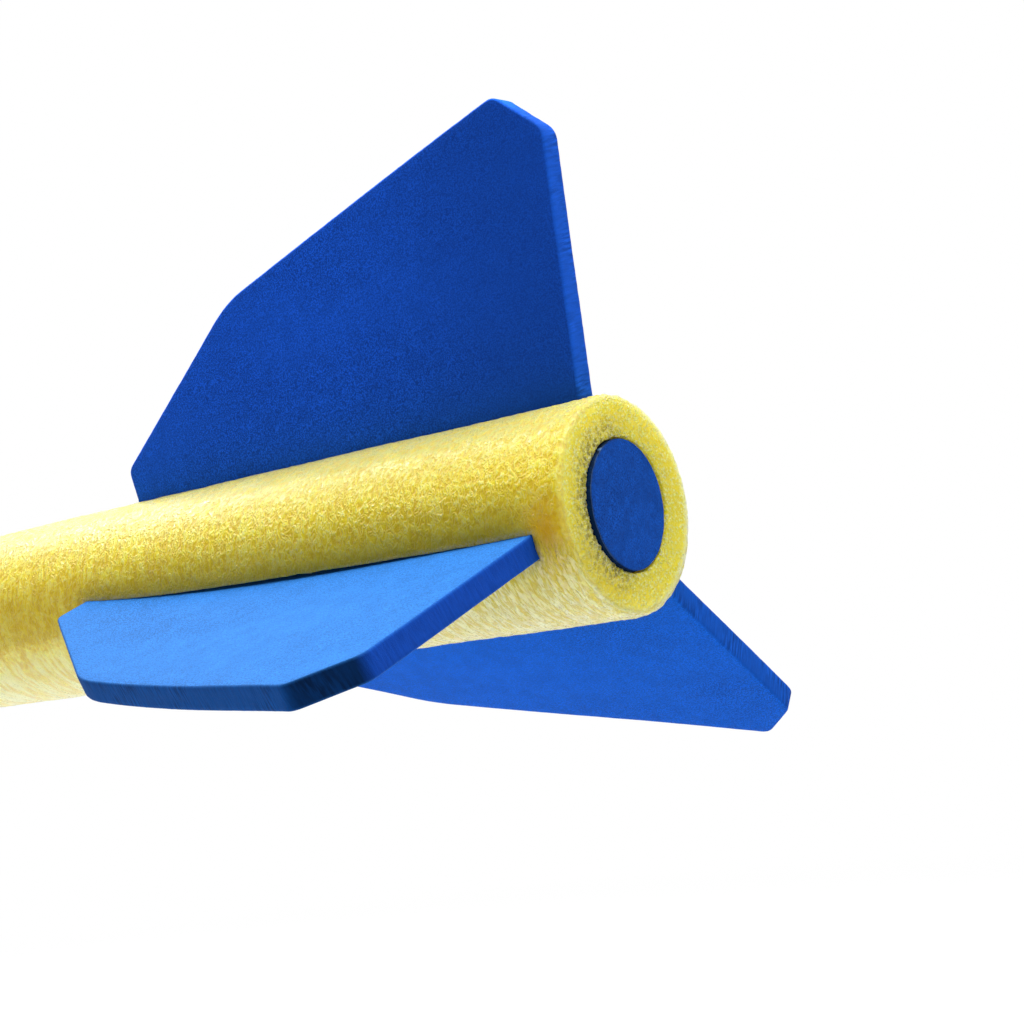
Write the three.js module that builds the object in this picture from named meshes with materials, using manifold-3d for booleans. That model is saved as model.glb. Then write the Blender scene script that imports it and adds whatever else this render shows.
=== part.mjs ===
// A foam throwing javelin. A bored foam shaft carries three sheet-foam fins let into slots at its
// tail, a plug in the tail end of its bore, and a rounded nose whose spigot fills the front end.
// Millimetres. +X is the flight direction, +Z the side of the top fin, +Y the thrower's left, and
// the origin is the middle of the plug's end face.
import * as THREE from 'three';
import { mergeVertices } from 'three/addons/utils/BufferGeometryUtils.js';
import { TessellateModifier } from 'three/addons/modifiers/TessellateModifier.js';
import Module from 'manifold-3d';

const wasm = await Module();
wasm.setup();

// Shaft
const shaftDiameter = 65;
const shaftLength = 730;
const boreDiameter = 39.6;
const tailRimRadius = 3; // the soft outer rim of the cut tail end
const boreRimRadius = 0.8;

// Tail plug
const plugLength = 42;
const plugProud = 2; // how far its end stands out of the shaft
const plugRimRadius = 0.7;

// Nose
const noseLength = 68; // from its shoulder to its tip
const spigotLength = 60;
const spigotChamfer = 3;
const shoulderRimRadius = 1.2;

// Fins: heights stand above the shaft's skin, reaches run forward from the rear end of the root
const finThickness = 7.5;
const finTailInset = 11.5; // from the shaft's tail end to the root
const finRootLength = 196;
const finSeatDepth = 10; // how deep the root goes into the shaft's wall
const finFrontHeight = 11;
const finFrontReach = 198.5;
const finBendHeight = 58.5; // where the leading edge bends
const finBendReach = 136.5;
const finTipHeight = 95;
const finTipReach = 14;
const finRearHeight = 81;
const finRearOverhang = 1.8; // how far the rear corner lies behind the root
const finCornerRadius = 2.5;
const finBendRadius = 9;

// Fit and facets
const glueGap = 0.3; // the glue line round a seated piece
const cutOverrun = 6; // how far a cutting tool runs on through the skin
const bladeFacet = 22; // the longest facet edge on a twisted blade
const facetPasses = 24; // the most times that a blade's long edges are split
const roundSides = 56;
const rimSteps = 3;
const domeSteps = 12;

// How each fin stands, in degrees, at even steps from the rear end of its root to the front end: the
// clock angle of the root, from +Z towards +Y, and how far the blade leans on from there. The slots
// are cut by hand, so none is quite straight, and the left fin lifts towards its front end. The lift
// is how far a fin stands out of its slot beyond the others.
const finStances = {
  fin_top: { clock: [-3, 3], lean: [7, 6, 1.5], lift: 1.5 },
  fin_left: { clock: [109.5, 110.5, 108.5, 101], lean: [2.5, 4.5, 15.5], lift: 0 },
  fin_right: { clock: [-121.5, -126.5], lean: [-2, 3.5, 11.5], lift: 0 },
};

const shaftRadius = shaftDiameter / 2;
const boreRadius = boreDiameter / 2;
const plugRadius = boreRadius - glueGap;
const tailX = plugProud;
const shoulderX = tailX + shaftLength;

const yellowFoam = new THREE.MeshStandardMaterial({ color: '#e6d873', roughness: 0.9, metalness: 0 });
const blueFoam = new THREE.MeshStandardMaterial({ color: '#2560c4', roughness: 0.75, metalness: 0 });

// A quarter round in an (axis, radius) profile, from one angle to another in degrees.
function quarterRound(centreX, centreRadius, radius, fromAngle, toAngle) {
  const points = [];
  for (let i = 0; i <= rimSteps; i += 1) {
    const angle = THREE.MathUtils.degToRad(fromAngle + ((toAngle - fromAngle) * i) / rimSteps);
    points.push([centreX + radius * Math.cos(angle), centreRadius + radius * Math.sin(angle)]);
  }
  return points;
}

// Turns (axis, radius) points round the X axis. The profile runs forward along the outside.
function turned(profile) {
  const points = profile.map(([x, radius]) => new THREE.Vector2(radius, x));
  const geometry = new THREE.LatheGeometry(points, roundSides);
  geometry.rotateZ(-Math.PI / 2);
  return geometry;
}

// The same surface with its shared corners merged, as a cutting or joining tool needs it.
function welded(geometry) {
  geometry.deleteAttribute('normal');
  geometry.deleteAttribute('uv');
  return mergeVertices(geometry);
}

function toSolid(geometry) {
  const closed = welded(geometry);
  return new wasm.Manifold(
    new wasm.Mesh({
      numProp: 3,
      vertProperties: new Float32Array(closed.attributes.position.array),
      triVerts: new Uint32Array(closed.index.array),
    }),
  );
}

function toGeometry(solid) {
  const mesh = solid.getMesh();
  const geometry = new THREE.BufferGeometry();
  geometry.setAttribute('position', new THREE.BufferAttribute(mesh.vertProperties, 3));
  geometry.setIndex(new THREE.BufferAttribute(mesh.triVerts, 1));
  geometry.computeVertexNormals();
  return geometry;
}

// A closed outline through corners given as [reach, height, cutback], each rounded over its cutback.
function roundedOutline(corners) {
  const shape = new THREE.Shape();
  corners.forEach(([reach, height, cutback], i) => {
    const corner = new THREE.Vector2(reach, height);
    const before = new THREE.Vector2(...corners.at(i - 1));
    const after = new THREE.Vector2(...corners[(i + 1) % corners.length]);
    const start = before.sub(corner).setLength(cutback).add(corner);
    const end = after.sub(corner).setLength(cutback).add(corner);
    if (i === 0) shape.moveTo(start.x, start.y);
    else shape.lineTo(start.x, start.y);
    if (cutback > 0) shape.quadraticCurveTo(corner.x, corner.y, end.x, end.y);
  });
  shape.closePath();
  return shape;
}

// The value at a share of the way along the root, on the smooth curve through evenly spaced values.
function along(values, share) {
  const last = values.length - 1;
  const row = [...values];
  for (let step = 1; step <= last; step += 1) {
    for (let i = 0; i <= last - step; i += 1) {
      row[i] += ((share * last - i) / step) * (row[i + 1] - row[i]);
    }
  }
  return row[0];
}

// Stands a flat sheet, cut in the XY plane, at a fin's place: every point keeps its reach and its
// height along the blade, while the clock angle and the lean change along the root.
function stoodSheet(outline, thickness, { clock, lean, lift }) {
  const flat = new THREE.ExtrudeGeometry(outline, { depth: thickness, bevelEnabled: false, curveSegments: 4 });
  flat.translate(0, 0, -thickness / 2);
  const sheet = new TessellateModifier(bladeFacet, facetPasses).modify(flat);
  const { position } = sheet.attributes;
  for (let i = 0; i < position.count; i += 1) {
    const reach = position.getX(i);
    const height = position.getY(i) + lift;
    const offset = position.getZ(i);
    const share = reach / finRootLength;
    const root = THREE.MathUtils.degToRad(along(clock, share));
    const blade = root + THREE.MathUtils.degToRad(along(lean, share));
    position.setXYZ(
      i,
      tailX + finTailInset + reach,
      shaftRadius * Math.sin(root) + height * Math.sin(blade) - offset * Math.cos(blade),
      shaftRadius * Math.cos(root) + height * Math.cos(blade) + offset * Math.sin(blade),
    );
  }
  return sheet;
}

// One fin, cut from flat sheet: five corners outside the shaft and a seat inside its wall.
function finGeometry(stance) {
  const outline = roundedOutline([
    [0, -finSeatDepth, 0],
    [finRootLength, -finSeatDepth, 0],
    [finRootLength, 0, 0],
    [finFrontReach, finFrontHeight, finCornerRadius],
    [finBendReach, finBendHeight, finBendRadius],
    [finTipReach, finTipHeight, finCornerRadius],
    [-finRearOverhang, finRearHeight, finCornerRadius],
    [0, 0, 0],
  ]);
  const geometry = welded(stoodSheet(outline, finThickness, stance));
  geometry.computeVertexNormals();
  return geometry;
}

// The tool that cuts a fin's slot: the seat, a glue line larger all round, and on along both of
// the fin's end edges until it is clear of the skin.
function slotGeometry(stance) {
  const frontSlope = (finFrontReach - finRootLength) / finFrontHeight;
  const rearSlope = finRearOverhang / finRearHeight;
  const outline = roundedOutline([
    [-glueGap, -finSeatDepth - glueGap, 0],
    [finRootLength + glueGap, -finSeatDepth - glueGap, 0],
    [finRootLength + glueGap, 0, 0],
    [finRootLength + glueGap + frontSlope * cutOverrun, cutOverrun, 0],
    [-glueGap - rearSlope * cutOverrun, cutOverrun, 0],
    [-glueGap, 0, 0],
  ]);
  return stoodSheet(outline, finThickness + 2 * glueGap, stance);
}

// The shaft is a foam tube with a soft outer rim at the tail and a slot for each fin.
function shaftGeometry() {
  const profile = [
    [shoulderX, shaftRadius],
    [shoulderX, boreRadius],
    ...quarterRound(tailX + boreRimRadius, boreRadius + boreRimRadius, boreRimRadius, 270, 180),
    ...quarterRound(tailX + tailRimRadius, shaftRadius - tailRimRadius, tailRimRadius, 180, 90),
    [shoulderX, shaftRadius],
  ];
  let shaft = toSolid(turned(profile));
  Object.values(finStances).forEach((stance) => {
    shaft = shaft.subtract(toSolid(slotGeometry(stance)));
  });
  return toGeometry(shaft);
}

// The tail plug fills the bore's tail end and stands a little proud of it.
function plugGeometry() {
  return turned([
    [0, 0],
    ...quarterRound(plugRimRadius, plugRadius - plugRimRadius, plugRimRadius, 180, 90),
    [plugLength, plugRadius],
    [plugLength, 0],
  ]);
}

// The nose is one turned piece: a chamfered spigot in the bore, a shoulder flush with the shaft's
// skin, and a half ellipse out to the tip.
function noseGeometry() {
  const noseShoulderX = shoulderX + glueGap;
  const spigotEndX = noseShoulderX - spigotLength;
  const domeX = noseShoulderX + shoulderRimRadius;
  const domeLength = noseLength - shoulderRimRadius;
  const dome = [];
  for (let i = 1; i < domeSteps; i += 1) {
    const angle = (Math.PI / 2) * (i / domeSteps);
    dome.push([domeX + domeLength * Math.sin(angle), shaftRadius * Math.cos(angle)]);
  }
  return turned([
    [spigotEndX, 0],
    [spigotEndX, plugRadius - spigotChamfer],
    [spigotEndX + spigotChamfer, plugRadius],
    [noseShoulderX, plugRadius],
    ...quarterRound(domeX, shaftRadius - shoulderRimRadius, shoulderRimRadius, 180, 90),
    ...dome,
    [domeX + domeLength, 0],
  ]);
}

function named(name, geometry, material) {
  const mesh = new THREE.Mesh(geometry, material);
  mesh.name = name;
  return mesh;
}

const javelin = new THREE.Group();
javelin.name = 'foam_javelin';
javelin.add(named('foam_shaft', shaftGeometry(), yellowFoam));
javelin.add(named('tail_plug', plugGeometry(), blueFoam));
javelin.add(named('nose', noseGeometry(), blueFoam));
Object.entries(finStances).forEach(([name, stance]) => {
  javelin.add(named(name, finGeometry(stance), blueFoam));
});

export default javelin;
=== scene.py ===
import math

import bpy
import numpy as np
from mathutils import Matrix, Vector, noise
from mathutils.geometry import delaunay_2d_cdt


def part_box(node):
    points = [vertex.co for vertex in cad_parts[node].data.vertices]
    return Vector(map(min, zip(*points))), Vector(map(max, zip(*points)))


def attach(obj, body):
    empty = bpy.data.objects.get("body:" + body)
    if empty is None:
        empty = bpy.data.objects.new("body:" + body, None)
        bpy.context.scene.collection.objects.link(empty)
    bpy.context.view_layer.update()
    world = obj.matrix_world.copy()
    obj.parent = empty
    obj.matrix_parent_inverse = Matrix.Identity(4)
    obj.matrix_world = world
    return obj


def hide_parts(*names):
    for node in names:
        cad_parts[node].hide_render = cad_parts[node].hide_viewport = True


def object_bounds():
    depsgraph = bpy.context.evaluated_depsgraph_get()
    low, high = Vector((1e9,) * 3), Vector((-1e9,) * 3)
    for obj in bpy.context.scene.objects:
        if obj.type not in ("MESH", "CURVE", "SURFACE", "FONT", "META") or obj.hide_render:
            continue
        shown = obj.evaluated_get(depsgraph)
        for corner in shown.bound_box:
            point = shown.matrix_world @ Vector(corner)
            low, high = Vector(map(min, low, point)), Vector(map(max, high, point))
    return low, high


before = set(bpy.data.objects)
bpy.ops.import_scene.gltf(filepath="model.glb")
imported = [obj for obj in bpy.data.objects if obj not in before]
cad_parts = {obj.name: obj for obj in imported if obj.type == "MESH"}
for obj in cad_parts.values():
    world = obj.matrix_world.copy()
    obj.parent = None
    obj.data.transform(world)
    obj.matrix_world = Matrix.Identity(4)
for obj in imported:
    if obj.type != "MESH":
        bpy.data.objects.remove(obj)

mm = 0.001
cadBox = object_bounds()

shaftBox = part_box("foam_shaft")
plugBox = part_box("tail_plug")
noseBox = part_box("nose")
tailX = shaftBox[0].x
shoulderX = shaftBox[1].x
shaftRadius = (shaftBox[1].y - shaftBox[0].y) / 2
plugRadius = (plugBox[1].y - plugBox[0].y) / 2
print("frame loaded, shaft radius", round(shaftRadius / mm, 2), "mm")


# The camera comes first: it stands low behind the tail, to the left, and looks up a little.
cameraPlace = dict(
    place=(-300.9 * mm, 439.4 * mm, -54.8 * mm),
    look=(0.6149, -0.7816, 0.1051),
    roll=-6.23,  # degrees about the line of sight
    lens=65.0,
    sensor=36.0,
    nearest=10 * mm,
    farthest=50.0,
)


def makeCamera(cfg):
    data = bpy.data.cameras.new("tailCamera")
    data.sensor_width = cfg["sensor"]
    data.lens = cfg["lens"]
    data.clip_start = cfg["nearest"]
    data.clip_end = cfg["farthest"]
    cam = bpy.data.objects.new("tailCamera", data)
    bpy.context.scene.collection.objects.link(cam)
    turn = Vector(cfg["look"]).to_track_quat("-Z", "Y").to_matrix().to_4x4()
    cam.matrix_world = turn @ Matrix.Rotation(math.radians(cfg["roll"]), 4, "Z")
    cam.location = cfg["place"]
    bpy.context.scene.camera = cam


makeCamera(cameraPlace)
print("camera placed")


# Shader maths: a Wire is a node's output, and sums on Wires add Math nodes.
class Wire:
    def __init__(self, finish, socket):
        self.finish = finish
        self.socket = socket

    def __add__(self, other):
        return self.finish.maths("ADD", self, other)

    def __radd__(self, other):
        return self.finish.maths("ADD", other, self)

    def __sub__(self, other):
        return self.finish.maths("SUBTRACT", self, other)

    def __rsub__(self, other):
        return self.finish.maths("SUBTRACT", other, self)

    def __mul__(self, other):
        return self.finish.maths("MULTIPLY", self, other)

    def __rmul__(self, other):
        return self.finish.maths("MULTIPLY", other, self)

    def __neg__(self):
        return self.finish.maths("MULTIPLY", self, -1.0)


class Finish:
    def __init__(self, wanted):  # a new material's name, or a world
        self.material = bpy.data.materials.new(wanted) if isinstance(wanted, str) else wanted
        self.material.use_nodes = True
        self.tree = self.material.node_tree
        self.tree.nodes.clear()

    def node(self, kind, settings=None, inputs=None):
        made = self.tree.nodes.new(kind)
        for key, value in (settings or {}).items():
            if key == "stops":
                ramp = made.color_ramp.elements
                while len(ramp) < len(value):
                    ramp.new(0.5)
                for stop, (at, colour) in zip(ramp, value):
                    stop.position = at
                    stop.color = opaque(colour)
            else:
                setattr(made, key, value)
        for key, value in (inputs or {}).items():
            if isinstance(value, Wire):
                self.tree.links.new(value.socket, made.inputs[key])
            else:
                made.inputs[key].default_value = value
        return made

    def wire(self, kind, settings=None, inputs=None, out=0):
        return Wire(self, self.node(kind, settings, inputs).outputs[out])

    def maths(self, operation, *values, clamp=False):
        settings = {"operation": operation, "use_clamp": clamp}
        return self.wire("ShaderNodeMath", settings, dict(enumerate(values)))

    def blend(self, share, first, second):
        return self.wire("ShaderNodeMix", {"data_type": "RGBA"}, {0: share, 6: first, 7: second}, out=2)

    def rise(self, value, low, high):  # 0 below low, 1 above high, smooth between
        settings = {"interpolation_type": "SMOOTHSTEP"}
        inputs = {"Value": value, "From Min": low, "From Max": high}
        return self.wire("ShaderNodeMapRange", settings, inputs)

    def crest(self, value, width):  # thin lines where a noise runs through its middle
        return 1 - self.rise(self.maths("ABSOLUTE", value - 0.5), 0.0, width)

    def towards(self, vector, direction):  # how far a vector runs in a direction
        settings = {"operation": "DOT_PRODUCT"}
        return self.wire("ShaderNodeVectorMath", settings, {0: vector, 1: direction}, out=1)

    def scaled(self, vector, factors):
        return self.wire("ShaderNodeVectorMath", {"operation": "MULTIPLY"}, {0: vector, 1: factors})

    def grain(self, vector, size, detail=2.0, rough=0.5, twist=0.0):  # fractal noise of that grain size
        inputs = {"Vector": vector, "Scale": 1.0 / size,
                  "Detail": detail, "Roughness": rough, "Distortion": twist}
        return self.wire("ShaderNodeTexNoise", {}, inputs)

    def cells(self, vector, size):  # how far each place is from the middle of its cell
        return self.wire("ShaderNodeTexVoronoi", {}, {"Vector": vector, "Scale": 1.0 / size})

    def bump(self, height, depth, strength=1.0, under=None):
        inputs = {"Height": height, "Distance": depth, "Strength": strength}
        if under is not None:
            inputs["Normal"] = under
        return self.wire("ShaderNodeBump", {}, inputs)

    def surface(self, **inputs):
        named = {name.replace("_", " "): value for name, value in inputs.items()}
        shader = self.node("ShaderNodeBsdfPrincipled", {}, named)
        out = self.node("ShaderNodeOutputMaterial")
        self.tree.links.new(shader.outputs[0], out.inputs[0])
        return self.material


def shade(red, green, blue):  # a screen colour, 0 to 255, as the light that it stands for
    def linear(level):
        level = level / 255
        return level / 12.92 if level <= 0.04045 else ((level + 0.055) / 1.055) ** 2.4
    return (linear(red), linear(green), linear(blue))


def opaque(colour):
    return (*colour, 1.0)


def toned(colour, factor):
    return tuple(min(1.0, level * factor) for level in colour)


# Yellow shaft foam: a crinkled, glossy, translucent skin, and open cells where the end is cut.
shaftFoam = dict(
    deep=shade(226, 191, 16),
    middle=shade(246, 223, 36),
    pale=shade(255, 246, 98),
    middleAt=0.45,
    paleLight=shade(255, 252, 200),  # painted light: pale where the floor lights the underside, and painted highlights on fold crests, torn cells and the rims
    faded=shade(186, 195, 142),  # painted light: the upper side, greyer and paler where the overhead light falls
    core=shade(243, 223, 52),  # the cut end, between its cells and on them
    fresh=shade(255, 253, 164),
    # painted shade in the valleys of the underside's creases
    creaseShade=shade(216, 194, 44),
    # painted shade: amber by the left fin's rear root
    hollow=shade(232, 172, 4),
    glint=shade(255, 248, 172),
    # painted shade in the holes among the torn cells
    hole=shade(132, 112, 24),
    fray=shade(204, 190, 134),
    # painted shade: near black inside each slot
    slot=shade(34, 30, 14),
    sheen=shade(255, 252, 226),
    shadeTone=0.6,  # how dark the painted shade is, as a factor on its colour
    ridgeSize=1.6 * mm,
    ridgeStretch=1.7,  # drawn out round the shaft
    ridgeWidth=0.12,
    drawSize=2.0 * mm,
    drawStretch=4.5,
    clumpSize=2.1 * mm,
    fineSize=0.5 * mm,
    mottleSize=11 * mm,
    wrinkleSize=1.0 * mm,
    wrinkleStretch=4.5,
    openCellSize=1.0 * mm,
    gapSize=1.6 * mm,
    skinDepth=0.65 * mm,
    wrinkleDepth=0.9 * mm,
    wrinkleRelief=0.8,
    openCellDepth=0.6 * mm,
    # where each look starts and where it is full: depths under the skin,
    skinFrom=(2.6 * mm, 0.8 * mm),
    slotFrom=(2.2 * mm, 0.9 * mm),
    boreFrom=(3 * mm, 12 * mm),
    rimFrom=(4.5 * mm, 1.2 * mm),
    rimRidgeFrom=(2.0 * mm, 1.2 * mm),
    # distances to the left of the axis,
    tornSide=(-6 * mm, 12 * mm),
    # places along the shaft,
    slotAlong=(5 * mm, 8 * mm),
    rimAlong=(6 * mm, 3 * mm),
    rimRidgeAlong=(tailX + 1.7 * mm, tailX + 1.0 * mm),
    creaseAlong=(150 * mm, 30 * mm),
    drawAlong=(50 * mm, 180 * mm),
    slotShadeAlong=(8 * mm, 30 * mm),
    # and, in shaft radii, heights over the axis and distances to its left
    belowHeight=(0.1, -0.45),
    footHeight=(-0.22, -0.92),
    creaseHeight=(-0.2, -0.45),
    upperHeight=(0.25, 0.95),
    endShadeHeight=(0.1, -0.6),
    endShadeSide=(-0.1, 0.7),
    slotShadeHeight=(0.25, -0.05),
    shadedHeight=(0.4, -0.05),
    shadedFoot=(-0.5, -0.35),
    shadedSide=(0.0, 0.4),
    farSide=(0.1, -0.8),
    rootShadePlace=(8 * mm, 106.0),  # from the tail end, and the clock angle
    rootShadeReach=11 * mm,
    rootShadeRound=0.6,  # below 1 it is longer round the shaft than along it
    skinLight=dict(ridges=0.4, clumps=0.42, fine=0.4, mottle=0.3, draws=0.4, less=0.24),
    # on the cut end, rim adds painted light: paler towards the outer edge
    openLight=dict(beads=1.2, fine=1.3, rim=0.3, less=0.62),
    skinRelief=dict(ridges=0.45, clumps=0.7, fine=0.35, rim=0.5),
    openRelief=dict(fine=0.4, holes=1.5),
    # how strongly each look shows
    show=dict(faded=0.34, fadedClumps=0.3, foot=0.36, footDraws=0.55, rim=0.15, farRim=0.7, glint=0.65,
              shaded=0.4, grubby=0.7, dull=0.4, hollow=0.6, creaseLoss=0.45, fold=0.35, torn=0.45,
              hole=0.75, fray=0.7),
    through=0.7,  # how much of the light goes through the foam
    throughReach=(1.0, 0.92, 0.1),
    throughDepth=12 * mm,
    gloss=0.3,
    rough=0.32,
    glintPolish=0.14,
    glintCoat=0.9,
)


def makeShaftFoam(cfg):
    f = Finish("yellowShaftFoam")
    spot = f.wire("ShaderNodeTexCoord", out=3)
    parts = f.node("ShaderNodeSeparateXYZ", {}, {0: spot})
    x, y, z = (Wire(f, parts.outputs[i]) for i in range(3))
    fromAxis = f.wire("ShaderNodeCombineXYZ", {}, {0: 0.0, 1: y, 2: z})
    radius = f.wire("ShaderNodeVectorMath", {"operation": "LENGTH"}, {0: fromAxis}, out=1)

    def depth(name):
        return f.rise(radius, *(shaftRadius - under for under in cfg[name]))

    def inRadii(value, name):
        return f.rise(value, *(radii * shaftRadius for radii in cfg[name]))

    below = inRadii(z, "belowHeight")  # 1 on the underside

    # a pattern drawn out round the shaft, made twice with its seams on opposite sides
    def roundShaft(stretch, make):
        def half(y, z):
            flat = {0: x, 1: f.maths("ARCTAN2", y, z) * shaftRadius, 2: radius}
            return make(f.scaled(f.wire("ShaderNodeCombineXYZ", {}, flat), (1.0, 1.0 / stretch, 1.0)))
        return half(y, z) * (1 - below) + half(-y, -z) * below

    def ridgeLines(place):
        return f.crest(f.grain(place, cfg["ridgeSize"], detail=1.6, rough=0.55, twist=0.5), cfg["ridgeWidth"])

    def wrinkleFolds(place):
        return f.rise(f.grain(place, cfg["wrinkleSize"], detail=1.2, rough=0.5, twist=0.9), 0.4, 0.62)

    ridges = roundShaft(cfg["ridgeStretch"], ridgeLines)
    draws = roundShaft(cfg["drawStretch"], lambda place: f.grain(place, cfg["drawSize"], detail=1.0))
    wrinkles = roundShaft(cfg["wrinkleStretch"], wrinkleFolds)
    clumps = f.grain(spot, cfg["clumpSize"], detail=1.5, twist=0.5)
    fine = f.grain(spot, cfg["fineSize"], rough=0.55)
    mottle = f.grain(spot, cfg["mottleSize"])
    beads = 1 - f.rise(f.cells(spot, cfg["openCellSize"]), 0.05, 0.6)
    gaps = f.cells(spot, cfg["gapSize"])

    skin = depth("skinFrom")  # 0 on the cut end, 1 on the skin
    inside = f.rise(x, *cfg["slotAlong"]) * (1 - depth("slotFrom"))
    foot = inRadii(z, "footHeight") * skin
    creased = f.rise(x, *cfg["creaseAlong"]) * inRadii(z, "creaseHeight") * skin
    upper = inRadii(z, "upperHeight") * skin
    nearBore = depth("boreFrom") * (1 - skin)
    cutRim = depth("rimFrom") * f.rise(x, *cfg["rimAlong"])
    rimRidge = f.rise(x, *cfg["rimRidgeAlong"]) * depth("rimRidgeFrom")
    # painted shade on the lower left of the cut end
    dull = (1 - skin) * inRadii(y, "endShadeSide") * inRadii(z, "endShadeHeight")
    drawn = (f.rise(draws, 0.4, 0.66) - 0.4) * f.rise(x, *cfg["drawAlong"])
    slotNear = f.wire("ShaderNodeAttribute", {"attribute_name": "slotNear"}, out=2)
    frayed = f.rise(slotNear, 0.72, 0.94) * f.rise(fine, 0.34, 0.6)
    # painted shade beside the slots, on the lower part of the shaft
    grubby = f.rise(slotNear, 0.0, 0.9) * inRadii(z, "slotShadeHeight") * f.rise(x, *cfg["slotShadeAlong"])
    shaded = inRadii(z, "shadedHeight") * inRadii(z, "shadedFoot") * inRadii(y, "shadedSide") * skin
    torn = nearBore * f.rise(y, *cfg["tornSide"])  # the cutter tore the foam on the left of the plug
    holes = f.rise(gaps + (fine - 0.5) * 0.7, 0.6, 0.25) * torn

    # painted shade: an amber patch round a spot by the left fin's rear root
    roundness, clock = cfg["rootShadeRound"], math.radians(cfg["rootShadePlace"][1])
    out = roundness * shaftRadius
    middle = (tailX + cfg["rootShadePlace"][0], out * math.sin(clock), out * math.cos(clock))
    squashed = f.scaled(spot, (1.0, roundness, roundness))
    away = f.wire("ShaderNodeVectorMath", {"operation": "DISTANCE"}, {0: squashed, 1: middle}, out=1)
    hollow = f.rise(away, cfg["rootShadeReach"], 0.0) * skin

    mix = cfg["skinLight"]
    skinLight = (ridges * mix["ridges"] + f.rise(clumps, 0.34, 0.66) * mix["clumps"] + fine * mix["fine"]
                 - mix["less"] + (mottle - 0.5) * mix["mottle"] + drawn * mix["draws"])
    mix = cfg["openLight"]
    openLight = beads * mix["beads"] + fine * mix["fine"] - mix["less"] + cutRim * mix["rim"]
    skinGlints = ridges * f.rise(fine, 0.47, 0.6) * f.rise(clumps, 0.36, 0.54)
    openGlints = f.rise(beads, 0.6, 0.95) * f.rise(fine, 0.46, 0.6)
    glints = skinGlints * skin + openGlints * (1 - skin)
    stops = [(0.0, cfg["deep"]), (cfg["middleAt"], cfg["middle"]), (1.0, cfg["pale"])]
    tint = f.wire("ShaderNodeValToRGB", {"stops": stops}, {0: skinLight})
    tint = f.blend(skin, f.blend(openLight, opaque(cfg["core"]), opaque(cfg["fresh"])), tint)

    show = cfg["show"]
    # painted light: the underside paler, in streaks, where the floor lights it
    footLight = foot * (show["foot"] + f.rise(draws, 0.35, 0.65) * show["footDraws"])
    # painted light: a pale glow along the rim on the far side, where light shines through
    farRim = rimRidge * show["farRim"] + cutRim * show["farRim"]
    layers = (
        # painted light on the upper side, broken by clumps
        (upper * (show["faded"] + f.rise(clumps, 0.4, 0.6) * show["fadedClumps"]), cfg["faded"]),
        # painted light on the underside and the far rim, and a painted highlight along the rim ridge
        (footLight + rimRidge * show["rim"] + farRim * inRadii(y, "farSide"), cfg["paleLight"]),
        (glints * show["glint"], cfg["glint"]),
        (shaded * show["shaded"], toned(cfg["deep"], cfg["shadeTone"])),  # the band over the left fin
        (grubby * show["grubby"], toned(cfg["deep"], cfg["shadeTone"])),
        (dull * show["dull"], toned(cfg["core"], cfg["shadeTone"])),
        (hollow * show["hollow"], cfg["hollow"]),
        # painted shade in the crease valleys, painted highlights on the fold crests
        ((1 - wrinkles) * creased * (1 - foot * show["creaseLoss"]), cfg["creaseShade"]),
        (wrinkles * creased * show["fold"], cfg["paleLight"]),
        # painted highlights on the torn cells, and painted shade in their holes
        (torn * f.rise(fine, 0.5, 0.62) * show["torn"], cfg["paleLight"]),
        (holes * show["hole"], cfg["hole"]),
        (frayed * show["fray"], cfg["fray"]),
        # painted shade inside the slots
        (inside, cfg["slot"]),
    )
    for share, colour in layers:
        tint = f.blend(share, tint, opaque(colour))

    mix = cfg["skinRelief"]
    relief = ridges * mix["ridges"] + clumps * mix["clumps"] + fine * mix["fine"] + rimRidge * mix["rim"]
    normal = f.bump(relief * skin, cfg["skinDepth"])
    mix = cfg["openRelief"]
    relief = beads + fine * mix["fine"] - holes * mix["holes"]
    normal = f.bump(relief * (1 - skin), cfg["openCellDepth"], under=normal)
    normal = f.bump(wrinkles * creased, cfg["wrinkleDepth"], cfg["wrinkleRelief"], normal)
    return f.surface(
        Base_Color=tint,
        Roughness=cfg["rough"] - glints * cfg["glintPolish"],
        Normal=normal,
        Subsurface_Weight=cfg["through"],
        Subsurface_Radius=cfg["throughReach"],
        Subsurface_Scale=cfg["throughDepth"],
        Specular_IOR_Level=cfg["gloss"],
        Coat_Weight=glints * cfg["glintCoat"],
        Coat_Roughness=0.16,
        Sheen_Weight=0.06,
        Sheen_Roughness=0.3,
        Sheen_Tint=opaque(cfg["sheen"]),
        IOR=1.45,
    )


# Blue sheet foam: matte and finely pitted, darker and faintly streaked where the sheet was cut, with painted
# light and shade in broad patches, along each fin and on parts of its cut walls.
# Each tone is a factor on the face's or the cut wall's colour, a pair being its darkest and lightest.
sheetFoam = dict(
    pitSize=0.55 * mm,
    pitTone=0.45,
    speckSize=0.5 * mm,
    speckTones=(0.55, 1.42),
    mottleSize=7 * mm,
    mottle=0.22,
    mottleTone=0.6,
    # painted light and shade: broad lighter and darker patches over the face
    lightPatchSize=30 * mm,
    lightPatch=0.4,
    lightPatchTones=(0.8, 1.6),
    dotSize=2.4 * mm,
    dotTone=0.4,
    streakSize=0.9 * mm,
    streakTones=(0.55, 1.25),
    streakPatch=14 * mm,
    patch=0.7,
    patchTones=(0.8, 1.1),
    brightTones=(0.74, 1.2),
    dimmest=0.3,
    pitDepth=0.14 * mm,
    streakDepth=0.14 * mm,
    gloss=0.05,
    sheen=shade(150, 190, 255),
    fade=(0.0, 1.0, 0.0, 1.0),  # painted light and shade along the fin: from and to along the shaft, how much, and how much lighter
)


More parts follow.
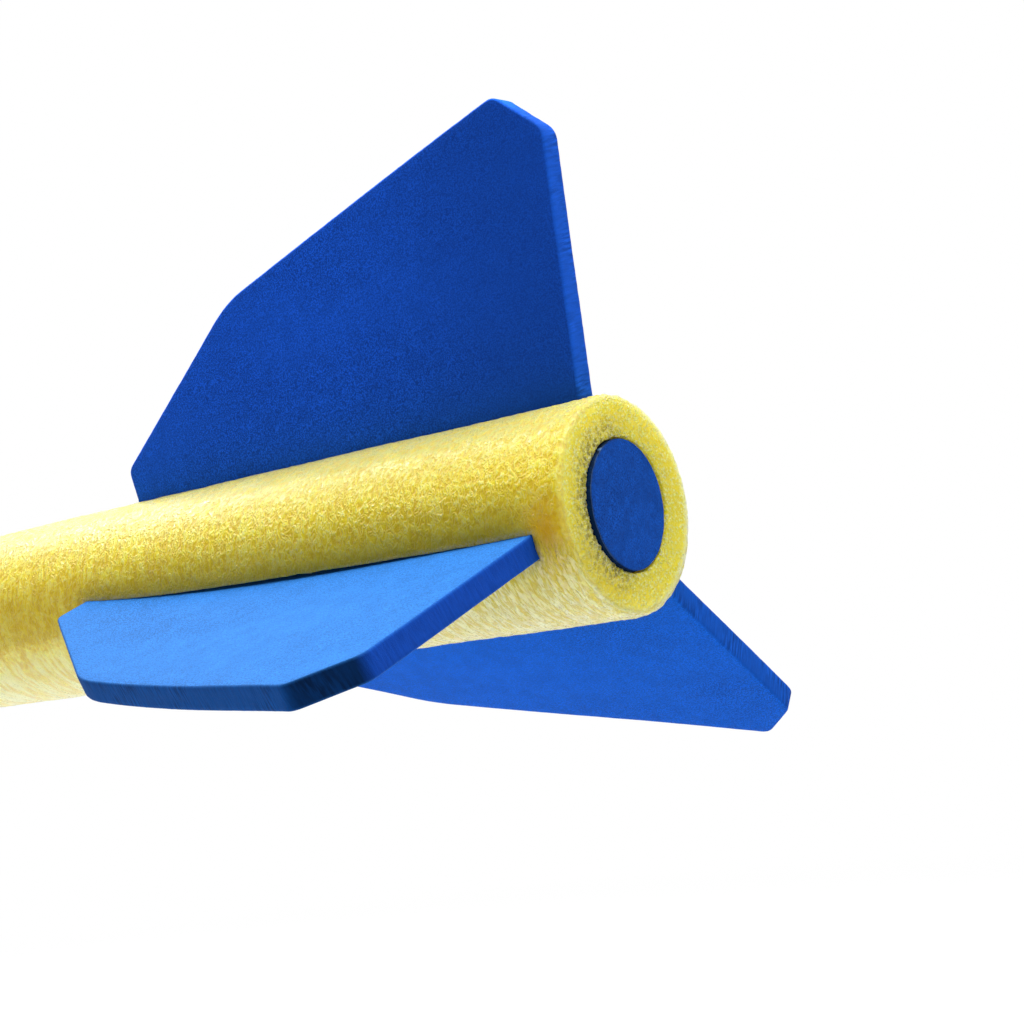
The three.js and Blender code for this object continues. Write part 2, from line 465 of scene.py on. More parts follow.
def makeSheetFoam(name, face, cut, cfg, bright=None):
    f = Finish(name)
    spot = f.wire("ShaderNodeTexCoord", out=3)
    cutWall, travel, across, edgeTone = (
        f.wire("ShaderNodeAttribute", {"attribute_name": mark}, out=2)
        for mark in ("cutWall", "rimTravel", "rimAcross", "edgeTone"))

    def between(share, colour, tones):
        return f.blend(share, *(opaque(toned(colour, tone)) for tone in tones))

    specks = f.grain(spot, cfg["speckSize"], rough=0.6)
    pits = f.cells(spot, cfg["pitSize"])
    mottle = f.grain(spot, cfg["mottleSize"], detail=3.0, rough=0.55)
    slant = f.wire("ShaderNodeCombineXYZ", {}, {0: travel + across * 0.25, 1: across * 0.12, 2: 0.0})
    streaks = f.grain(slant, cfg["streakSize"], detail=4.0, rough=0.66)
    patches = f.rise(f.grain(spot, cfg["streakPatch"], detail=1.0), 0.66, 0.44)
    longSpot = f.scaled(spot, (0.5, 1.0, 1.0))
    lightPatches = f.rise(f.grain(longSpot, cfg["lightPatchSize"], detail=1.0, rough=0.4), 0.34, 0.64)
    dots = f.cells(spot, cfg["dotSize"])
    x = f.wire("ShaderNodeSeparateXYZ", {}, {0: spot})
    rampFrom, rampTo, faded, lighter = cfg["fade"]

    tint = between(f.rise(specks, 0.36, 0.64), face, cfg["speckTones"])
    layers = (
        # painted light and shade in broad patches
        (lightPatches * cfg["lightPatch"], between(specks, face, cfg["lightPatchTones"])),
        # painted light and shade: a ramp of tone along the fin
        (f.rise(x, rampFrom, rampTo) * faded, opaque(toned(face, lighter))),
        (f.rise(mottle, 0.36, 0.66) * cfg["mottle"], opaque(toned(face, cfg["mottleTone"]))),
        (f.rise(pits, 0.15, 0.05) * 0.5, opaque(toned(face, cfg["pitTone"]))),
        (f.rise(dots, 0.13, 0.07) * 0.6, opaque(toned(face, cfg["dotTone"]))),
    )
    for share, colour in layers:
        tint = f.blend(share, tint, colour)

    cutTint = between(f.rise(streaks, 0.36, 0.64), cut, cfg["streakTones"])
    cutTint = f.blend(patches * cfg["patch"], cutTint, between(specks, cut, cfg["patchTones"]))
    # edge tones under 1 darken the cut wall, painted shade on the left fin; under 0 the wall takes the bright
    # colour, painted light on the left fin's rear wall and the plug's rim, and the plug's worn bit
    dimmed = {0: cutTint, "Scale": f.maths("MAXIMUM", edgeTone, cfg["dimmest"])}
    cutTint = f.wire("ShaderNodeVectorMath", {"operation": "SCALE"}, dimmed)
    brightShare = specks * 0.5 + f.rise(streaks, 0.36, 0.64) * 0.5
    brightTint = between(brightShare, bright or cut, cfg["brightTones"])
    cutTint = f.blend(f.maths("SUBTRACT", 0.0, edgeTone, clamp=True), cutTint, brightTint)
    tint = f.blend(cutWall, tint, cutTint)

    relief = f.rise(pits, 0.0, 0.32) * 0.6 + specks * 0.5
    normal = f.bump(relief, cfg["pitDepth"], 0.7)
    normal = f.bump(streaks * cutWall * (1 - patches * 0.6), cfg["streakDepth"], 0.5, normal)
    return f.surface(
        Base_Color=tint,
        Roughness=0.6 + specks * 0.2,
        Normal=normal,
        Specular_IOR_Level=cfg["gloss"],
        Sheen_Weight=0.03,
        Sheen_Roughness=0.5,
        Sheen_Tint=opaque(cfg["sheen"]),
        IOR=1.45,
    )


# Meshes: everything is a list of points and faces with a few named numbers at each point.
def makePiece(name, points, faces, material, marks=None):
    mesh = bpy.data.meshes.new(name)
    mesh.from_pydata([tuple(p) for p in points], [], faces)
    for mark, values in (marks or {}).items():
        layer = mesh.attributes.new(mark, "FLOAT", "POINT")
        layer.data.foreach_set("value", np.asarray(values, dtype=np.float32))
    mesh.validate()
    mesh.polygons.foreach_set("use_smooth", [True] * len(mesh.polygons))
    mesh.materials.append(material)
    piece = bpy.data.objects.new(name, mesh)
    bpy.context.scene.collection.objects.link(piece)
    return piece


def settle(piece, node):  # a foam piece takes its node's place
    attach(piece, "root")
    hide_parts(node)


# Turned pieces: rings of points along an (x, radius) profile, with a closing point on the axis.
def spread(points, step):  # the same broken line with a point about every step
    out = [points[0]]
    for (x0, r0), (x1, r1) in zip(points, points[1:]):
        count = max(1, round(math.hypot(x1 - x0, r1 - r0) / step))
        out += [(x0 + (x1 - x0) * i / count, r0 + (r1 - r0) * i / count) for i in range(1, count + 1)]
    return out


def arc(x, r, radius, start, end, steps=6):  # angles in degrees, from the axis direction
    turn = [math.radians(start + (end - start) * i / steps) for i in range(steps + 1)]
    return [(x + radius * math.cos(a), r + radius * math.sin(a)) for a in turn]


def turnedMesh(profile, sides, relief, closed):
    # relief gives each point's (forward, outward) shift; closed joins the last ring to the first
    points, faces, rings = [], [], []
    for x, r in profile:
        if r < 1e-7:
            rings.append([len(points)] * sides)
            points.append((x + relief(x, 0.0, 0.0)[0], 0.0, 0.0))
            continue
        ring = []
        for side in range(sides):
            angle = 2 * math.pi * side / sides  # from +Z towards +Y
            forward, outward = relief(x, r, angle)
            ring.append(len(points))
            points.append((x + forward, (r + outward) * math.sin(angle), (r + outward) * math.cos(angle)))
        rings.append(ring)
    pairs = list(zip(rings, rings[1:])) + ([(rings[-1], rings[0])] if closed else [])
    for here, there in pairs:
        for side in range(sides):
            after = (side + 1) % sides
            corners = [here[side], here[after], there[after], there[side]]
            face = [c for i, c in enumerate(corners) if c not in corners[:i]]
            faces.append(face)
    return points, faces


# Fins: how the sheet is cut, and how each fin stands in its slot.
finCut = dict(
    thickness=7.5 * mm,
    tailInset=11.5 * mm,
    rootLength=196 * mm,
    seatDepth=10 * mm,
    frontHeight=11 * mm,
    frontReach=198.5 * mm,
    bendHeight=58.5 * mm,
    bendReach=136.5 * mm,
    tipHeight=95 * mm,
    tipReach=14 * mm,
    rearHeight=81 * mm,
    rearOverhang=1.8 * mm,
    cornerRadius=3 * mm,
    bendRadius=9 * mm,
    glueGap=0.3 * mm,
    cutOverrun=6 * mm,
    slotRim=0.05 * mm,
    slotRimStep=2 * mm,
    slotFaceStep=6 * mm,
    gapeSize=5 * mm,
    nibble=0.35 * mm,  # small bites out of the slot's edge
    nibbleSize=2.6 * mm,
    rimRadius=0.8 * mm,  # the rounded edge of the cut sheet
    rimStep=1.3 * mm,
    faceStep=2.4 * mm,
    wave=0.45 * mm,
    waveSize=70 * mm,
    dent=0.06 * mm,
    dentSize=11 * mm,
    stiffTo=30 * mm,  # the sheet waves less than this near its root
    streak=0.12 * mm,
    streakSize=2.1 * mm,
)
# clock, lean and gape stand at even steps from the root's rear end to its front, clock and lean in
# degrees; edgeTones scale the cut wall's tone at so many millimetres round the outline, and -1 is its
# bright tone
finStances = {
    "fin_top": dict(
        clock=(-3, 3), lean=(7, 6, 1.5), lift=1.5 * mm, seed=1.3,
        gape=(0.1 * mm, 0.25 * mm, 0.1 * mm),
        # painted shade: the face darker towards the rear; painted light: the cut walls twice as light along
        # the front and upper edges
        face=shade(22, 82, 196), cut=shade(24, 88, 204), fade=(110 * mm, 20 * mm, 0.6, 0.5),
        edgeTones=((0, 1.0), (206, 1.0), (215, 2.0), (423, 2.0), (432, 1.2), (444, 1.0), (600, 1.0))),
    "fin_left": dict(
        clock=(109.5, 110.5, 108.5, 101), lean=(2.5, 4.5, 15.5), lift=0.0, seed=5.1,
        gape=(-0.2 * mm, 0.35 * mm, 0.95 * mm, 0.45 * mm, -0.25 * mm),
        # painted light: the face a lighter copy of the blue, lighter still towards the rear, and the rear cut
        # wall bright; painted shade: the cut wall a darker copy, darkest near the tip
        face=shade(44, 114, 193), cut=shade(5, 72, 146), bright=shade(16, 70, 172),
        fade=(190 * mm, 50 * mm, 0.3, 1.3),
        edgeTones=((0, 1.0), (419, 1.0), (424, 0.33), (439, 0.33), (445, -1.0), (600, -1.0))),
    "fin_right": dict(
        clock=(-121.5, -126.5), lean=(-2, 3.5, 11.5), lift=0.0, seed=8.7,
        gape=(0.1 * mm, 0.2 * mm, 0.1 * mm),
        # painted light: the face lighter towards the front
        face=shade(12, 88, 196), cut=shade(16, 84, 190), fade=(30 * mm, 130 * mm, 0.35, 1.5),
        edgeTones=((0, 1.0), (600, 1.0))),
}


def along(values, share):  # the smooth curve through evenly spaced values
    last = len(values) - 1
    row = list(values)
    for step in range(1, last + 1):
        for i in range(last - step + 1):
            row[i] += (share * last - i) / step * (row[i + 1] - row[i])
    return row[0]


def cutOutline(corners, step):
    # a closed run of points through the corners, each rounded over its cutback
    count = len(corners)
    track = []
    for i, (reach, height, cutback) in enumerate(corners):
        corner = Vector((reach, height))
        before = Vector(corners[i - 1][:2]) - corner
        after = Vector(corners[(i + 1) % count][:2]) - corner
        if cutback == 0:
            track.append(corner)
            continue
        start, end = corner + before.normalized() * cutback, corner + after.normalized() * cutback
        steps = max(3, round(2 * cutback / step))
        for k in range(steps + 1):
            t = k / steps
            track.append(start * (1 - t) ** 2 + corner * 2 * t * (1 - t) + end * t ** 2)
    out = []
    for here, there in zip(track, track[1:] + track[:1]):
        run = (there - here).length
        pieces = max(1, round(run / step))
        out += [here.lerp(there, k / pieces) for k in range(pieces)]
    return out


def finOutline(cfg):
    return [
        (0, -cfg["seatDepth"], 0),
        (cfg["rootLength"], -cfg["seatDepth"], 0),
        (cfg["rootLength"], 0, 0),
        (cfg["frontReach"], cfg["frontHeight"], cfg["cornerRadius"]),
        (cfg["bendReach"], cfg["bendHeight"], cfg["bendRadius"]),
        (cfg["tipReach"], cfg["tipHeight"], cfg["cornerRadius"]),
        (-cfg["rearOverhang"], cfg["rearHeight"], cfg["cornerRadius"]),
        (0, 0, 0),
    ]


def slotOutline(cfg):
    gap, over = cfg["glueGap"], cfg["cutOverrun"]
    front = cfg["rootLength"] + gap + (cfg["frontReach"] - cfg["rootLength"]) / cfg["frontHeight"] * over
    rear = -gap - cfg["rearOverhang"] / cfg["rearHeight"] * over
    return [
        (-gap, -cfg["seatDepth"] - gap, 0),
        (cfg["rootLength"] + gap, -cfg["seatDepth"] - gap, 0),
        (cfg["rootLength"] + gap, 0, 0),
        (front, over, 0),
        (rear, over, 0),
        (-gap, 0, 0),
    ]


def stood(reach, height, offset, stance, cfg):
    # where a point of the flat sheet lies once the fin stands in its slot
    share = reach / cfg["rootLength"]
    height += stance["lift"]
    root = math.radians(along(stance["clock"], share))
    blade = root + math.radians(along(stance["lean"], share))
    return (
        tailX + cfg["tailInset"] + reach,
        shaftRadius * math.sin(root) + height * math.sin(blade) - offset * math.cos(blade),
        shaftRadius * math.cos(root) + height * math.cos(blade) + offset * math.sin(blade),
    )


def sheetMesh(corners, thickness, rim, rimStep, faceStep, relief):
    # a cut sheet: two faces filled with triangles and a wall of rings between them, in flat places
    loop = cutOutline(corners, rimStep)
    count = len(loop)
    travel = [0.0]
    for here, there in zip(loop, loop[1:]):
        travel.append(travel[-1] + (there - here).length)
    outward = []
    for i in range(count):
        run = (loop[(i + 1) % count] - loop[i - 1]).normalized()
        outward.append(Vector((run.y, -run.x)))
    inner = [p - o * rim for p, o in zip(loop, outward)]
    low = Vector((min(p.x for p in inner), min(p.y for p in inner)))
    high = Vector((max(p.x for p in inner), max(p.y for p in inner)))
    fill = []
    row, rowHeight = 0, 0.866 * faceStep  # rows of even triangles
    y = low.y + faceStep / 2
    while y < high.y:
        x = low.x + (faceStep / 2 if row % 2 else faceStep)
        while x < high.x:
            fill.append(Vector((x, y)))
            x += faceStep
        y += rowHeight
        row += 1
    edges = [(i, (i + 1) % count) for i in range(count)]
    clear = [p for p in fill if min((p - q).length_squared for q in inner[::3]) > (0.8 * faceStep) ** 2]
    flat, _, triangles, origin, _, _ = delaunay_2d_cdt(inner + clear, edges, [list(range(count))], 1, 1e-7)
    where = {}
    for made, sources in enumerate(origin):
        for source in sources:
            where[source] = made

    places, cutWall, rimTravel, rimAcross, faces = [], [], [], [], []
    sides = []
    for sign in (1, -1):
        used = {}
        for tri in triangles:
            for corner in tri:
                if corner not in used:
                    used[corner] = len(places)
                    p = flat[corner]
                    places.append((p.x, p.y, sign * thickness / 2 + relief(p.x, p.y, sign)))
                    cutWall.append(0.0)
                    rimTravel.append(0.0)
                    rimAcross.append(sign * thickness / 2)
        for tri in triangles:
            ids = [used[c] for c in tri]
            faces.append(ids if sign > 0 else ids[::-1])
        sides.append([used[where[i]] for i in range(count)])
        for i in range(count):
            rimTravel[sides[-1][i]] = travel[i]
    half = thickness / 2
    section = [(rim * (1 - math.sin(a)), half - rim * (1 - math.cos(a)), 0.5 + 0.5 * math.sin(a) ** 2)
               for a in (math.radians(30), math.radians(60), math.radians(90))]
    wallSteps = max(2, round((thickness - 2 * rim) / rimStep))
    wall = [(0.0, (half - rim) * (1 - 2 * k / wallSteps), 1.0) for k in range(1, wallSteps)]
    section = section + wall + [(i, -w, m) for i, w, m in reversed(section)]
    before = sides[0]
    for inset, offset, mark in section:
        ring = []
        for i in range(count):
            streak = relief(travel[i], None, 0) * mark
            p = loop[i] - outward[i] * (inset + streak)
            ring.append(len(places))
            places.append((p.x, p.y, offset + relief(p.x, p.y, offset / half)))
            cutWall.append(mark)
            rimTravel.append(travel[i])
            rimAcross.append(offset)
        faces += [[before[i], ring[i], ring[(i + 1) % count], before[(i + 1) % count]] for i in range(count)]
        before = ring
    last = sides[1]
    faces += [[before[i], last[i], last[(i + 1) % count], before[(i + 1) % count]] for i in range(count)]
    return places, faces, {"cutWall": cutWall, "rimTravel": rimTravel, "rimAcross": rimAcross}


def finRelief(cfg, seed):
    def relief(a, b, side):
        if b is None:  # along the cut wall
            return cfg["streak"] * noise.noise(Vector((a / cfg["streakSize"], seed, 0.0)))
        free = min(1.0, max(0.0, b / cfg["stiffTo"]))
        wave = cfg["wave"] * free * noise.noise(Vector((a / cfg["waveSize"], b / cfg["waveSize"], seed)))
        place = Vector((a / cfg["dentSize"], b / cfg["dentSize"], seed + 3.0 * side))
        return wave + cfg["dent"] * noise.noise(place) * min(1.0, free * 4)
    return relief


def makeFins(cfg):
    for name, stance in finStances.items():
        look = {**sheetFoam, "fade": stance["fade"]}
        finish = makeSheetFoam(name + "Foam", stance["face"], stance["cut"], look, stance.get("bright"))
        places, faces, marks = sheetMesh(
            finOutline(cfg), cfg["thickness"], cfg["rimRadius"], cfg["rimStep"], cfg["faceStep"],
            finRelief(cfg, stance["seed"]))
        points = [stood(*p, stance, cfg) for p in places]
        ats, tones = zip(*stance["edgeTones"])
        marks["edgeTone"] = np.interp(np.array(marks["rimTravel"]) / mm, ats, tones)
        piece = makePiece(name + "_sheet", points, faces, finish, marks)
        settle(piece, name)
        print(name, "cut and stood:", len(faces), "faces")


makeFins(finCut)


# Shaft: a foam tube with a soft tail rim, an open-celled cut end and a slot for each fin.
shaftTube = dict(
    sides=288,
    rimRadius=2.4 * mm,
    boreRadius=19.8 * mm,
    boreRimRadius=0.8 * mm,
    endStep=0.48 * mm,
    tailStep=0.85 * mm,
    finStep=2.4 * mm,
    frontStep=8 * mm,
    tailEnd=62 * mm,
    finEnd=430 * mm,
    boreStep=2 * mm,
    boreStart=12 * mm,
    boreSeat=60 * mm,
    fullness=0.3 * mm,  # the foam swells this much past its nominal size
    skin=0.2 * mm,  # unevenness of the skin
    skinSize=2.4 * mm,
    tornReach=6 * mm,  # the skin is rougher this near to the cut
    torn=1.9,
    swell=0.3 * mm,
    swellSize=45 * mm,
    endReach=0.3 * mm,  # what lies this near to the tail end is the cut end
    endSet=0.25 * mm,
    cellWalls=0.6 * mm,  # cell walls that stand on the cut end
    cellSize=1.35 * mm,
    cellEdge=0.3,
    cellGrit=0.6 * mm,
    boreQuiet=3 * mm,  # past this the bore is plain
    lip=0.5 * mm,  # the foam stands up a little along each slot
    lipWidth=4.5 * mm,
    lipPast=3 * mm,
    frayAndShadeWidth=8 * mm,  # the mark beside each slot falls to nothing this far out; near the mouth it frays, further out it takes painted shade
)


def shaftRelief(cfg):
    def relief(x, r, angle):
        y, z = r * math.sin(angle), r * math.cos(angle)
        if r < cfg["boreRadius"] + 0.2 * mm and x > tailX + cfg["boreQuiet"]:
            return 0.0, 0.0
        spot = Vector((x, y, z))
        coarse, finer = (noise.noise(spot / (size * cfg["skinSize"])) for size in (1.0, 0.5))
        skin = cfg["skin"] * (coarse + 0.6 * finer)
        if x < tailX + cfg["tornReach"]:
            skin *= cfg["torn"]
        if x < tailX + cfg["endReach"]:
            near, second = noise.voronoi(spot / cfg["cellSize"])[0][:2]
            wall = 1.0 - min(1.0, (second - near) / cfg["cellEdge"])
            grit = noise.noise(spot / cfg["cellGrit"])
            return cfg["endSet"] - cfg["cellWalls"] * (wall * 0.8 + 0.3 * grit), skin
        swell = cfg["swell"] * noise.noise(spot / cfg["swellSize"])
        lip = 0.0
        reach = x - tailX - finCut["tailInset"]
        if -cfg["lipPast"] < reach < finCut["rootLength"] + cfg["lipPast"]:
            share = min(1.0, max(0.0, reach / finCut["rootLength"]))
            for stance in finStances.values():
                clock = math.radians(along(stance["clock"], share))
                apart = abs((angle - clock + math.pi) % (2 * math.pi) - math.pi) * r
                lip += cfg["lip"] * math.exp(-(apart / cfg["lipWidth"]) ** 2)
        return 0.0, cfg["fullness"] + skin + swell + lip
    return relief


def evaluated(piece):
    held = bpy.context.evaluated_depsgraph_get()
    mesh = bpy.data.meshes.new_from_object(piece.evaluated_get(held))
    piece.modifiers.clear()
    old, piece.data = piece.data, mesh
    bpy.data.meshes.remove(old)


def cutSlots(piece, cfg):
    for name, stance in finStances.items():
        places, faces, _ = sheetMesh(
            slotOutline(cfg), cfg["thickness"] + 2 * cfg["glueGap"], cfg["slotRim"], cfg["slotRimStep"],
            cfg["slotFaceStep"], lambda a, b, side: 0.0)
        points = []
        for reach, height, offset in places:  # the slot gapes over the fin's upper face
            if offset > 0:
                rough = 1.0 + 0.5 * noise.noise(Vector((reach / cfg["gapeSize"], stance["seed"], 0.0)))
                bite = noise.noise(Vector((reach / cfg["nibbleSize"], stance["seed"], 4.0)))
                share = min(1.0, max(0.0, reach / cfg["rootLength"]))
                wider = along(stance["gape"], share) * rough + cfg["nibble"] * max(0.0, bite)
                offset += wider * max(0.0, 1 + height / cfg["seatDepth"])
            points.append(stood(reach, height, offset, stance, cfg))
        tool = makePiece("slotTool", points, faces, piece.data.materials[0])
        cut = piece.modifiers.new("slot", "BOOLEAN")
        cut.operation = "DIFFERENCE"
        cut.solver = "MANIFOLD"
        cut.object = tool
        bpy.context.view_layer.update()
        evaluated(piece)
        bpy.data.objects.remove(tool)
        print("slot cut for", name, len(piece.data.polygons), "faces")


def markSlots(piece, cfg):
    # 1 along the mouth of each slot, falling evenly to 0 over the width of fraying and painted shade
    places = np.empty(len(piece.data.vertices) * 3)
    piece.data.vertices.foreach_get("co", places)
    x, y, z = places.reshape(-1, 3).T
    reach = x - tailX - finCut["tailInset"]
    share = np.clip(reach / finCut["rootLength"], 0.0, 1.0)
    near = np.zeros(len(x))
    for stance in finStances.values():
        turn = np.arctan2(y, z) - np.radians(along(stance["clock"], share))
        apart = np.abs((turn + np.pi) % (2 * np.pi) - np.pi) * shaftRadius
        side = np.abs(apart - finCut["thickness"] / 2)
        past = np.maximum(0.0, np.maximum(-reach, reach - finCut["rootLength"]))
        near = np.maximum(near, 1.0 - np.hypot(side, past) / cfg["frayAndShadeWidth"])
    layer = piece.data.attributes.new("slotNear", "FLOAT", "POINT")
    layer.data.foreach_set("value", near.astype(np.float32))


def makeShaft(cfg):
    rim, boreRim, bore = cfg["rimRadius"], cfg["boreRimRadius"], cfg["boreRadius"]
    stations = (shoulderX, tailX + cfg["finEnd"], tailX + cfg["tailEnd"], tailX + rim)
    steps = (cfg["frontStep"], cfg["finStep"], cfg["tailStep"])
    profile = [(shoulderX, shaftRadius)]
    for start, end, step in zip(stations, stations[1:], steps):
        profile += spread([(start, shaftRadius), (end, shaftRadius)], step)[1:]
    profile += arc(tailX + rim, shaftRadius - rim, rim, 90, 180)[1:]
    profile += spread([(tailX, shaftRadius - rim), (tailX, bore + boreRim)], cfg["endStep"])[1:]
    profile += arc(tailX + boreRim, bore + boreRim, boreRim, 180, 270)[1:]
    profile += spread([(tailX + boreRim, bore), (tailX + cfg["boreStart"], bore)], cfg["boreStep"])[1:]
    profile += [(tailX + cfg["boreSeat"], bore), (shoulderX - cfg["boreSeat"], bore), (shoulderX, bore)]
    points, faces = turnedMesh(profile, cfg["sides"], shaftRelief(cfg), closed=True)
    piece = makePiece("shaft_tube", points, faces, makeShaftFoam(shaftFoam))
    cutSlots(piece, finCut)
    markSlots(piece, cfg)
    piece.data.polygons.foreach_set("use_smooth", [True] * len(piece.data.polygons))
    piece.data.set_sharp_from_angle(angle=math.radians(50))
    settle(piece, "foam_shaft")
    print("shaft made:", len(piece.data.polygons), "faces")


makeShaft(shaftTube)


# Plug and nose: turned from the blue foam.
tailPlug = dict(
    sides=150,
    rimRadius=0.6 * mm,
    step=1.0 * mm,
    sideStep=3 * mm,
    sideBreak=8 * mm,
    backStep=4 * mm,
    backMiddle=3 * mm,
    uneven=0.07 * mm,
    unevenSize=3 * mm,
    set=1.65 * mm,  # how far its middle is pushed in from flush with the frame's end face
    tilt=-0.049,  # it sits askew: proud on the left, a little sunk on the right
    face=shade(12, 72, 164),
    # painted shade: the side wall near black
    side=shade(10, 38, 76),
    # the worn bit of rim, and the painted highlight round the face's rim on the left
    wornAndLit=shade(96, 132, 184),
    rimLight=0.25,  # a painted highlight: a soft, light rim round the face on the left
    rimLightRun=16 * mm,
    wornAt=(36.0, 7.0),  # the clock angle of the worn bit of rim, and how far it runs each way
    wornReach=3 * mm,
    mottle=0.5,
    mottleSize=4 * mm,
)
roundNose = dict(
    sides=150,
    spigotStep=5 * mm,
    backMiddle=4 * mm,
    shoulderStep=3 * mm,
    rimRadius=1.2 * mm,
    spigotLength=60 * mm,
    spigotChamfer=3 * mm,
    domeSteps=44,
    uneven=0.12 * mm,
    unevenSize=6 * mm,
    face=shade(28, 88, 194),
    side=shade(28, 88, 194),
)


def unevenRelief(cfg):
    elsewhere = Vector((7.0, 3.0, 1.0))  # the outward shift is read from another place in the noise

    def relief(x, r, angle):
        y = r * math.sin(angle)
        spot = Vector((x, y, r * math.cos(angle))) / cfg["unevenSize"]
        forward = cfg["uneven"] * noise.noise(spot)
        if "tilt" in cfg and x < tailX:
            forward += cfg["set"] + cfg["tilt"] * y
        return forward, cfg["uneven"] * noise.noise(spot + elsewhere)
    return relief


def makePlug(cfg):
    radius, rim = plugRadius, cfg["rimRadius"]
    low, high = plugBox[0].x, plugBox[1].x
    profile = (
        [(high, 0.0)]
        + spread([(high, cfg["backMiddle"]), (high, radius)], cfg["backStep"])
        + spread([(high, radius), (low + cfg["sideBreak"], radius), (low + rim, radius)], cfg["sideStep"])[1:]
        + arc(low + rim, radius - rim, rim, 90, 180)[1:]
        + spread([(low, radius - rim), (low, cfg["step"])], cfg["step"])[1:]
        + [(low, 0.0)]
    )
    points, faces = turnedMesh(profile, cfg["sides"], unevenRelief(cfg), closed=False)
    out = [math.hypot(p[1], p[2]) for p in points]
    wall = [1.0 if r > radius - 0.3 * rim else 0.0 for r in out]
    inRim = [radius - 0.75 * rim < r < radius - 0.1 * rim for r in out]
    travel = [math.atan2(p[1], p[2]) * radius for p in points]
    finish = makeSheetFoam("plugFoam", cfg["face"], cfg["side"], {**sheetFoam, **cfg}, cfg["wornAndLit"])
    middle, run = cfg["wornAt"]
    wornAndLit = []
    for i, (x, y, z) in enumerate(points):
        apart = abs(math.degrees(math.atan2(y, z)) - middle) / run
        tone = 1.0 - 2.0 * wall[i] * max(0.0, 1.0 - apart) if x < low + cfg["wornReach"] else 1.0
        # painted highlight: the face's rim lighter towards the left
        if inRim[i] and tone > 0:
            light = min(1.0, max(0.0, 0.3 + y / cfg["rimLightRun"]))
            wall[i] = max(wall[i], 0.6 * light)
            tone = 1.0 - light * (1.0 + cfg["rimLight"])
        wornAndLit.append(tone)
    across = [p[0] for p in points]
    marks = {"cutWall": wall, "rimTravel": travel, "rimAcross": across, "edgeTone": wornAndLit}
    piece = makePiece("plug_disc", points, faces, finish, marks)
    settle(piece, "tail_plug")
    print("plug made:", len(faces), "faces")


def makeNose(cfg):
    low, high = noseBox[0].x, noseBox[1].x
    rim = cfg["rimRadius"]
    shoulder = low + cfg["spigotLength"]
    domeX = shoulder + rim
    dome = []
    for i in range(1, cfg["domeSteps"]):
        angle = math.pi / 2 * i / cfg["domeSteps"]
        dome.append((domeX + (high - domeX) * math.sin(angle), shaftRadius * math.cos(angle)))
    profile = (
        [(low, 0.0)]
        + spread([(low, cfg["backMiddle"]), (low, plugRadius - cfg["spigotChamfer"])], cfg["spigotStep"])
        + spread([(low + cfg["spigotChamfer"], plugRadius), (shoulder, plugRadius)], cfg["spigotStep"])
        + spread([(shoulder, plugRadius), (shoulder, shaftRadius - rim)], cfg["shoulderStep"])[1:]
        + arc(domeX, shaftRadius - rim, rim, 180, 90, 4)[1:]
        + dome
        + [(high, 0.0)]
    )
    points, faces = turnedMesh(profile, cfg["sides"], unevenRelief(cfg), closed=False)
    finish = makeSheetFoam("noseFoam", cfg["face"], cfg["side"], sheetFoam)
    marks = {mark: [0.0] * len(points) for mark in ("cutWall", "rimTravel", "rimAcross", "edgeTone")}
    piece = makePiece("nose_dome", points, [face[::-1] for face in faces], finish, marks)
    settle(piece, "nose")
    print("nose made:", len(faces), "faces")


makePlug(tailPlug)
makeNose(roundNose)


# Studio: a white floor under the javelin, a wide lamp overhead, one in front and a white surround.
studio = dict(
    floorDrop=130 * mm,
    floorSize=16.0,
    floorMiddle=(300 * mm, 0.0, 0.0),
    floorGlow=0.7,  # how much of the floor's white is its own, for the camera, near the javelin
    glowFrom=0.45,  # from here to there the floor's own white grows to full
    glowTo=0.95,
    keyPlace=(-0.22, 0.12, 1.11),
    lampAim=(0.1, 0.0, 0.0),
    keySize=0.9,
    keyPower=19.6,
    frontPlace=(0.92, -0.12, 0.85),  # in front, high, for the sheen along the top of the shaft
    frontSize=0.65,
    frontPower=8.6,
    floorTone=230,
    roomLevel=0.12,  # the room on the camera's side
    roomTurn=0.75,  # the higher, the more evenly the room turns into the backdrop
    backdropLevel=0.75,  # the white backdrop behind the javelin
)


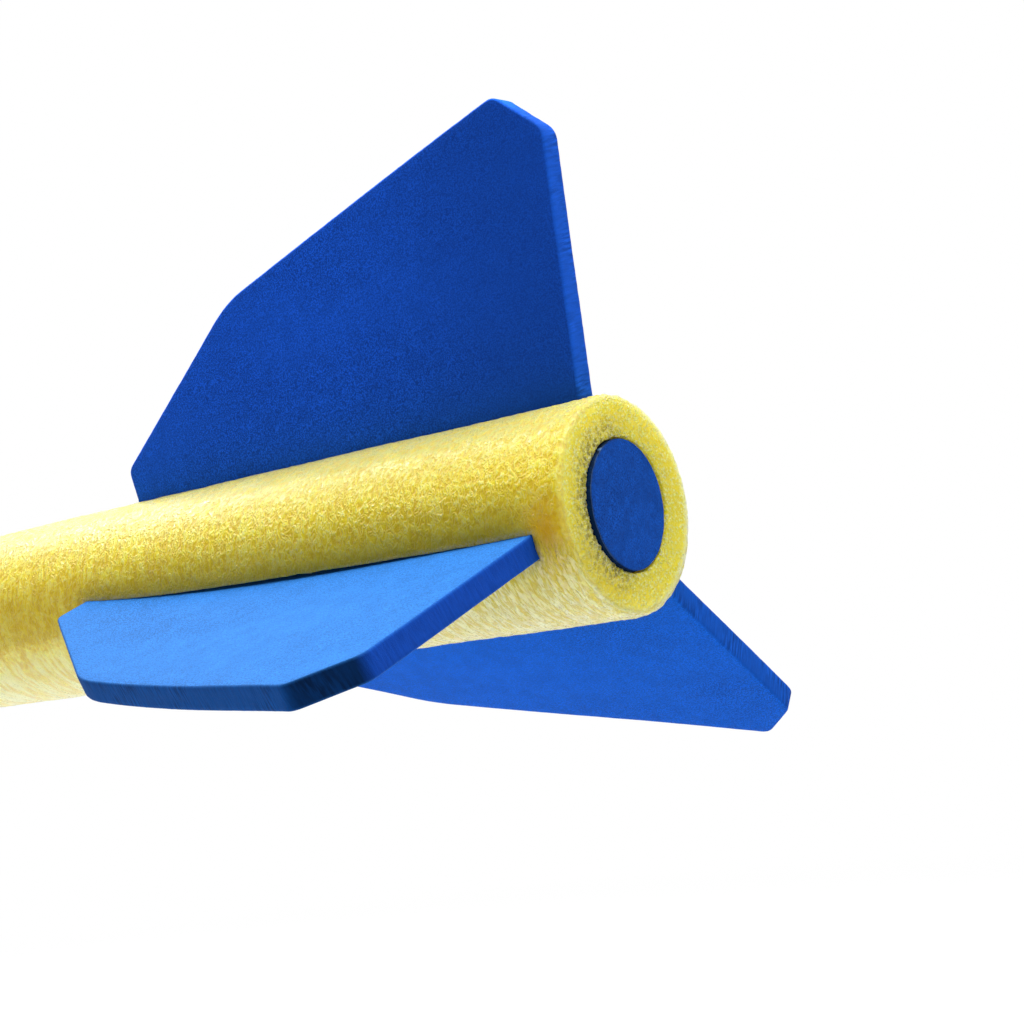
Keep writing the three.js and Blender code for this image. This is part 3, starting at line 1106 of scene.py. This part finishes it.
def makeStudio(cfg):
    world = bpy.data.worlds.new("whiteSurround")
    bpy.context.scene.world = world
    sky = Finish(world)
    seen = sky.node("ShaderNodeLightPath")
    rays = (Wire(sky, seen.outputs[ray]) for ray in ("Is Camera Ray", "Is Transmission Ray"))
    plain = sky.maths("MAXIMUM", *rays)
    facing = sky.towards(sky.wire("ShaderNodeTexCoord"), cameraPlace["look"])
    backdrop = sky.rise(facing, -cfg["roomTurn"], cfg["roomTurn"])
    room = cfg["roomLevel"] + (cfg["backdropLevel"] - cfg["roomLevel"]) * backdrop
    level = plain + (1 - plain) * room
    white = opaque((1.0, 1.0, 1.0))
    glow = sky.wire("ShaderNodeBackground", {}, {"Color": white, "Strength": level})
    sky.node("ShaderNodeOutputWorld", {}, {0: glow})

    f = Finish("whiteFloor")
    camera = f.wire("ShaderNodeLightPath")
    spot = f.wire("ShaderNodeTexCoord", out=3)
    span = {0: spot, 1: cfg["floorMiddle"]}
    away = f.wire("ShaderNodeVectorMath", {"operation": "DISTANCE"}, span, out=1)
    own = cfg["floorGlow"] + (1.0 - cfg["floorGlow"]) * f.rise(away, cfg["glowFrom"], cfg["glowTo"])
    matte = f.wire("ShaderNodeBsdfDiffuse", {}, {"Color": opaque(shade(*[cfg["floorTone"]] * 3))})
    bright = f.wire("ShaderNodeEmission", {}, {"Color": white, "Strength": 1.0})
    both = f.wire("ShaderNodeMixShader", {}, {0: camera * own, 1: matte, 2: bright})
    f.node("ShaderNodeOutputMaterial", {}, {0: both})
    half = cfg["floorSize"] / 2
    level = cadBox[0].z - cfg["floorDrop"]
    corners = [(-half, -half, level), (half, -half, level), (half, half, level), (-half, half, level)]
    floor = makePiece("studio_floor", corners, [[0, 1, 2, 3]], f.material)

    for name in ("key", "front"):
        lamp = bpy.data.lights.new(name + "Lamp", "AREA")
        lamp.shape = "DISK"
        lamp.size = cfg[name + "Size"]
        lamp.energy = cfg[name + "Power"]
        hung = bpy.data.objects.new(name + "Lamp", lamp)
        hung.location = cfg[name + "Place"]
        aim = Vector(cfg["lampAim"]) - Vector(cfg[name + "Place"])
        hung.rotation_euler = aim.to_track_quat("-Z", "Y").to_euler()
        bpy.context.scene.collection.objects.link(hung)
    print("studio lit")


makeStudio(studio)
bpy.context.scene.view_settings.view_transform = "Standard"
